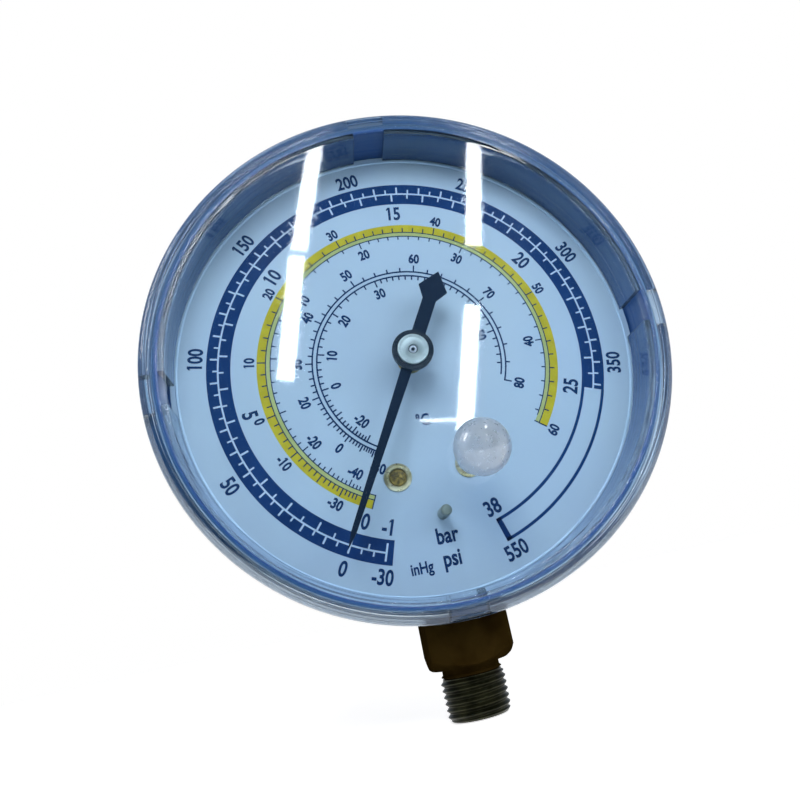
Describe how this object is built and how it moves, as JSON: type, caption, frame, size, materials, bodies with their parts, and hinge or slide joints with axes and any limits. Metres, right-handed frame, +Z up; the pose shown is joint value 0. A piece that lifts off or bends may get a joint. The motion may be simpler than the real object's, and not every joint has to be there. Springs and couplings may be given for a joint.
{
  "type": "refrigerant pressure gauge",
  "caption": "Round dial gauge with a clear push-fit lens, a bottom stem with a pipe thread, and a curved tube, link, toothed sector and pinion that turn the pointer.",
  "frame": {"origin": "On the stem's axis, where the thread begins under the wrench block.", "axes": "+Z up along the stem towards the dial, the dial faces -Y, +X to the right of someone reading it."},
  "size_m": [0.0836, 0.0363, 0.098],
  "materials": {
    "case": "gloss blue enamel",
    "lens": "clear polished plastic",
    "lens_plug": "clear soft plastic",
    "dial": "satin white enamel with printed scales",
    "dial_eyelets": "satin, slightly dulled",
    "stop_pin": "bright",
    "dial_screw": "satin, slightly dulled",
    "calibration_screw": "satin, slightly dulled",
    "dial_posts": "satin, slightly dulled",
    "pointer": "satin black",
    "pointer_hub": "black",
    "pointer_cap": "bright turned",
    "front_plate": "satin, slightly dulled",
    "rear_plate": "satin, slightly dulled",
    "plate_pillars": "satin, slightly dulled",
    "plate_screws": "bright zinc plated",
    "sector_gear": "satin, slightly dulled",
    "sector_arbor": "bright zinc plated",
    "pinion_arbor": "bright zinc plated",
    "link": "satin, slightly dulled",
    "tail_pin": "bright zinc plated",
    "tip_pin": "bright zinc plated",
    "bourdon_tube": "bronze, drawn",
    "tube_tip": "satin, slightly dulled",
    "hairspring": "phosphor bronze",
    "hairspring_collet": "satin, slightly dulled",
    "hairspring_stud": "satin, slightly dulled",
    "retard_spring": "bright zinc plated",
    "retard_screw": "bright zinc plated",
    "socket": "darkened",
    "restrictor_screw": "satin, slightly dulled",
    "movement_screws": "bright zinc plated",
    "case_screws": "bright zinc plated"
  },
  "bodies": {
    "gauge": {"case": "case", "lens": "lens", "dial": "dial", "dial_eyelets": "dial_eyelets", "stop_pin": "stop_pin", "dial_screw": "dial_screw", "dial_posts": "dial_posts", "front_plate": "front_plate", "rear_plate": "rear_plate", "plate_pillars": "plate_pillars", "plate_screws": "plate_screws", "bourdon_tube": "bourdon_tube", "hairspring": "hairspring", "hairspring_stud": "hairspring_stud", "retard_spring": "retard_spring", "retard_screw": "retard_screw", "socket": "socket", "restrictor_screw": "restrictor_screw", "movement_screws": "movement_screws", "case_screws": "case_screws"},
    "sector": {"sector_gear": "sector_gear", "sector_arbor": "sector_arbor", "tail_pin": "tail_pin"},
    "link": {"link": "link"},
    "pointer_assembly": {"pinion_arbor": "pinion_arbor", "pointer": "pointer", "pointer_hub": "pointer_hub", "pointer_cap": "pointer_cap", "hairspring_collet": "hairspring_collet"},
    "tip": {"tube_tip": "tube_tip", "tip_pin": "tip_pin"},
    "plug": {"lens_plug": "lens_plug"},
    "setting_screw": {"calibration_screw": "calibration_screw"}
  },
  "joints": [
    {"name": "tip_travel", "type": "slide", "parent": "gauge", "child": "tip", "axis": [0.4099, 0, 0.9121], "range_m": [-0.00014, 0.00404], "stiffness_N_per_m": 580, "deforming": ["bourdon_tube"]},
    {"name": "sector_swing", "type": "hinge", "parent": "gauge", "child": "sector", "pos_m": [0.00948, 0.0009, 0.03742], "axis": [0, -1, 0], "range_deg": [-1.36, 39.5]},
    {"name": "pointer_turn", "type": "hinge", "parent": "gauge", "child": "pointer_assembly", "pos_m": [0, 0.0009, 0.05], "axis": [0, 1, 0], "range_deg": [-10.9, 315.8]},
    {"name": "link_swing", "type": "hinge", "parent": "sector", "child": "link", "pos_m": [0.01385, 0.0009, 0.03331], "axis": [0, 1, 0], "range_deg": [-1.36, 39.5]},
    {"name": "plug_pull", "type": "slide", "parent": "gauge", "child": "plug", "axis": [0, -1, 0], "range_m": [0, 0.015]},
    {"name": "calibration_turn", "type": "hinge", "parent": "gauge", "child": "setting_screw", "pos_m": [0.00586, -0.0053, 0.0313], "axis": [0, 1, 0], "continuous": true}
  ],
  "couplings": [
    {"joint": "sector_swing", "follows": "tip_travel", "rad_per_m": 170.07},
    {"joint": "pointer_turn", "follows": "tip_travel", "rad_per_m": 1360.5},
    {"joint": "link_swing", "follows": "tip_travel", "rad_per_m": 170.07}
  ]
}
